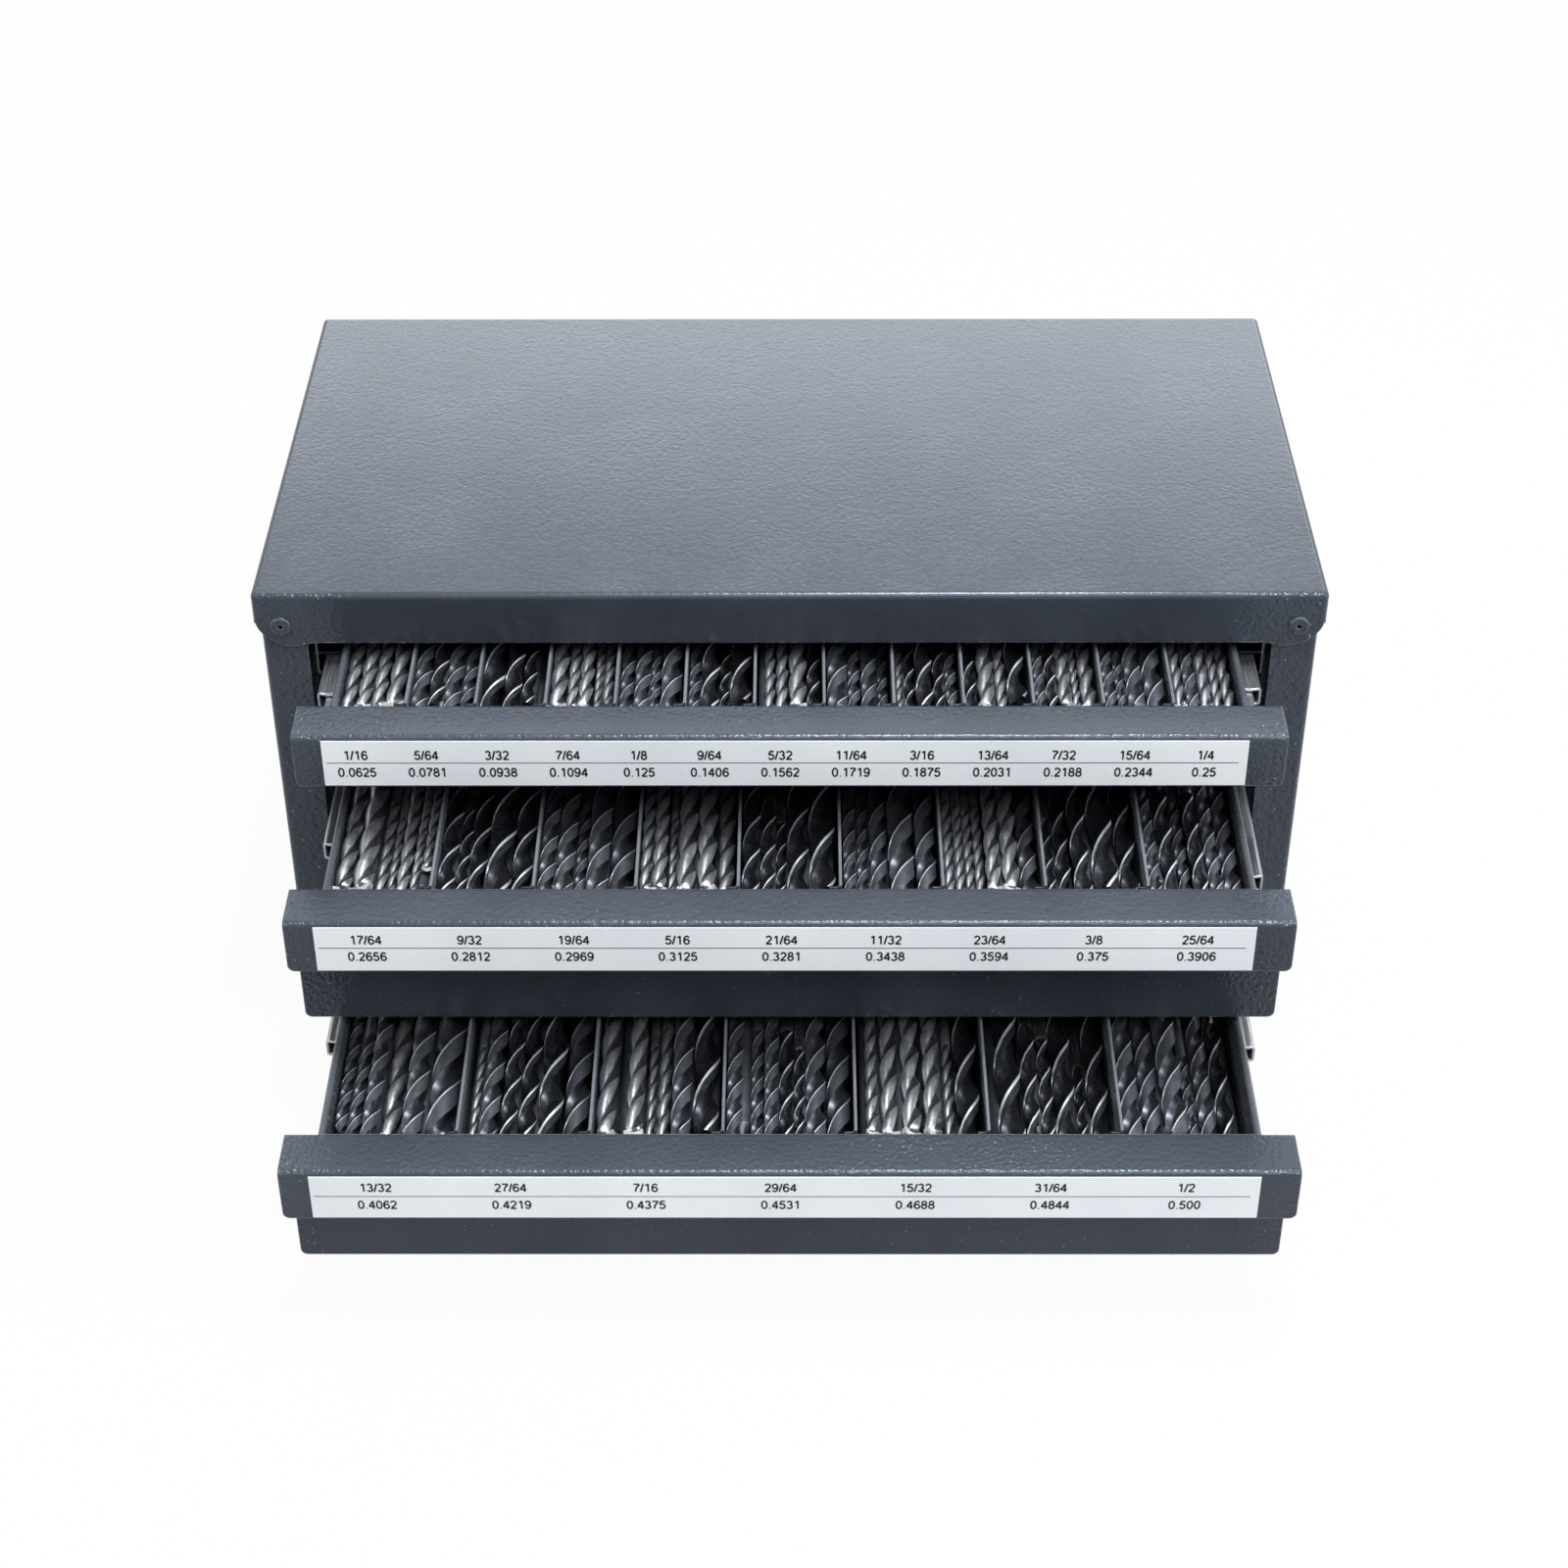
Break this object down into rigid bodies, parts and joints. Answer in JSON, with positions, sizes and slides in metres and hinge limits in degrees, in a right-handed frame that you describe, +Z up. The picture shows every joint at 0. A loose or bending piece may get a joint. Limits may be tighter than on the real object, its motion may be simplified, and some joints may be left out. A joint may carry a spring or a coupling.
{
  "type": "drill bit drawer case",
  "caption": "Desktop steel case with sliding drawers on telescoping slides, divided front to back into narrow compartments for drill bits, with hooded finger-pull lips and label strips.",
  "frame": {"origin": "middle of the underside of the base, on the surface the case stands on", "axes": "+Z up, +X to the right seen from the drawers, drawers open towards -Y"},
  "size_m": [0.38, 0.3666, 0.198],
  "materials": {
    "case_paint": "charcoal powder coat, fine orange peel, satin",
    "drawer_paint": "charcoal powder coat, fine orange peel, satin",
    "tray_paint": "charcoal powder coat, smooth satin",
    "slide_steel": "dark rolled steel, bare at the edges",
    "post_steel": "charcoal powder coat",
    "rivet_paint": "painted over rivet",
    "label_film": "printed white label film, satin",
    "drill_steel": "dark ground flutes with bright lands",
    "drill_carbide": "light sintered tips",
    "label_print": "dark printed figures"
  },
  "bodies": {
    "case": {"top_cover": "case_paint", "right_side_panel": "case_paint", "left_side_panel": "case_paint", "base_pan": "case_paint", "back_panel": "case_paint", "front_cover_rivets": "rivet_paint", "rear_cover_rivets": "rivet_paint", "back_panel_rivets": "rivet_paint", "left_front_post": "post_steel", "left_rear_post": "post_steel", "left_channel_rivets": "slide_steel", "right_front_post": "post_steel", "right_rear_post": "post_steel", "right_channel_rivets": "slide_steel", "drawer_1_left_fixed_channel": "slide_steel", "drawer_1_right_fixed_channel": "slide_steel", "drawer_2_left_fixed_channel": "slide_steel", "drawer_2_right_fixed_channel": "slide_steel", "drawer_3_left_fixed_channel": "slide_steel", "drawer_3_right_fixed_channel": "slide_steel"},
    "drawer_1": {"drawer_1_front": "drawer_paint", "drawer_1_tray": "tray_paint", "drawer_1_dividers": "tray_paint", "drawer_1_label": "label_film", "drawer_1_stop_studs": "slide_steel", "drawer_1_left_rail": "slide_steel", "drawer_1_right_rail": "slide_steel"},
    "middle_section_1_left": {"drawer_1_left_middle_section": "slide_steel"},
    "middle_section_1_right": {"drawer_1_right_middle_section": "slide_steel"},
    "drawer_2": {"drawer_2_front": "drawer_paint", "drawer_2_tray": "tray_paint", "drawer_2_dividers": "tray_paint", "drawer_2_label": "label_film", "drawer_2_stop_studs": "slide_steel", "drawer_2_left_rail": "slide_steel", "drawer_2_right_rail": "slide_steel"},
    "middle_section_2_left": {"drawer_2_left_middle_section": "slide_steel"},
    "middle_section_2_right": {"drawer_2_right_middle_section": "slide_steel"},
    "drawer_3": {"drawer_3_front": "drawer_paint", "drawer_3_tray": "tray_paint", "drawer_3_dividers": "tray_paint", "drawer_3_label": "label_film", "drawer_3_stop_studs": "slide_steel", "drawer_3_left_rail": "slide_steel", "drawer_3_right_rail": "slide_steel"},
    "middle_section_3_left": {"drawer_3_left_middle_section": "slide_steel"},
    "middle_section_3_right": {"drawer_3_right_middle_section": "slide_steel"}
  },
  "joints": [
    {"name": "drawer_1_slide", "type": "slide", "parent": "case", "child": "drawer_1", "axis": [0, -1, 0], "range_m": [-0.03519, 0.12981]},
    {"name": "middle_section_1_left_slide", "type": "slide", "parent": "case", "child": "middle_section_1_left", "axis": [0, -1, 0], "range_m": [-0.02027, 0.07448]},
    {"name": "middle_section_1_right_slide", "type": "slide", "parent": "case", "child": "middle_section_1_right", "axis": [0, -1, 0], "range_m": [-0.01759, 0.06461]},
    {"name": "drawer_2_slide", "type": "slide", "parent": "case", "child": "drawer_2", "axis": [0, -1, 0], "range_m": [-0.08629, 0.0787]},
    {"name": "middle_section_2_left_slide", "type": "slide", "parent": "case", "child": "middle_section_2_left", "axis": [0, -1, 0], "range_m": [-0.04221, 0.03851]},
    {"name": "middle_section_2_right_slide", "type": "slide", "parent": "case", "child": "middle_section_2_right", "axis": [0, -1, 0], "range_m": [-0.06068, 0.05535]},
    {"name": "drawer_3_slide", "type": "slide", "parent": "case", "child": "drawer_3", "axis": [0, -1, 0], "range_m": [-0.1436, 0.0214]},
    {"name": "middle_section_3_left_slide", "type": "slide", "parent": "case", "child": "middle_section_3_left", "axis": [0, -1, 0], "range_m": [-0.08009, 0.01202]},
    {"name": "middle_section_3_right_slide", "type": "slide", "parent": "case", "child": "middle_section_3_right", "axis": [0, -1, 0], "range_m": [-0.08324, 0.01249]}
  ],
  "couplings": [
    {"joint": "middle_section_1_left_slide", "follows": "drawer_1_slide", "ratio": 0.573},
    {"joint": "middle_section_1_right_slide", "follows": "drawer_1_slide", "ratio": 0.497},
    {"joint": "middle_section_2_left_slide", "follows": "drawer_2_slide", "ratio": 0.488},
    {"joint": "middle_section_2_right_slide", "follows": "drawer_2_slide", "ratio": 0.702},
    {"joint": "middle_section_3_left_slide", "follows": "drawer_3_slide", "ratio": 0.557},
    {"joint": "middle_section_3_right_slide", "follows": "drawer_3_slide", "ratio": 0.579}
  ]
}
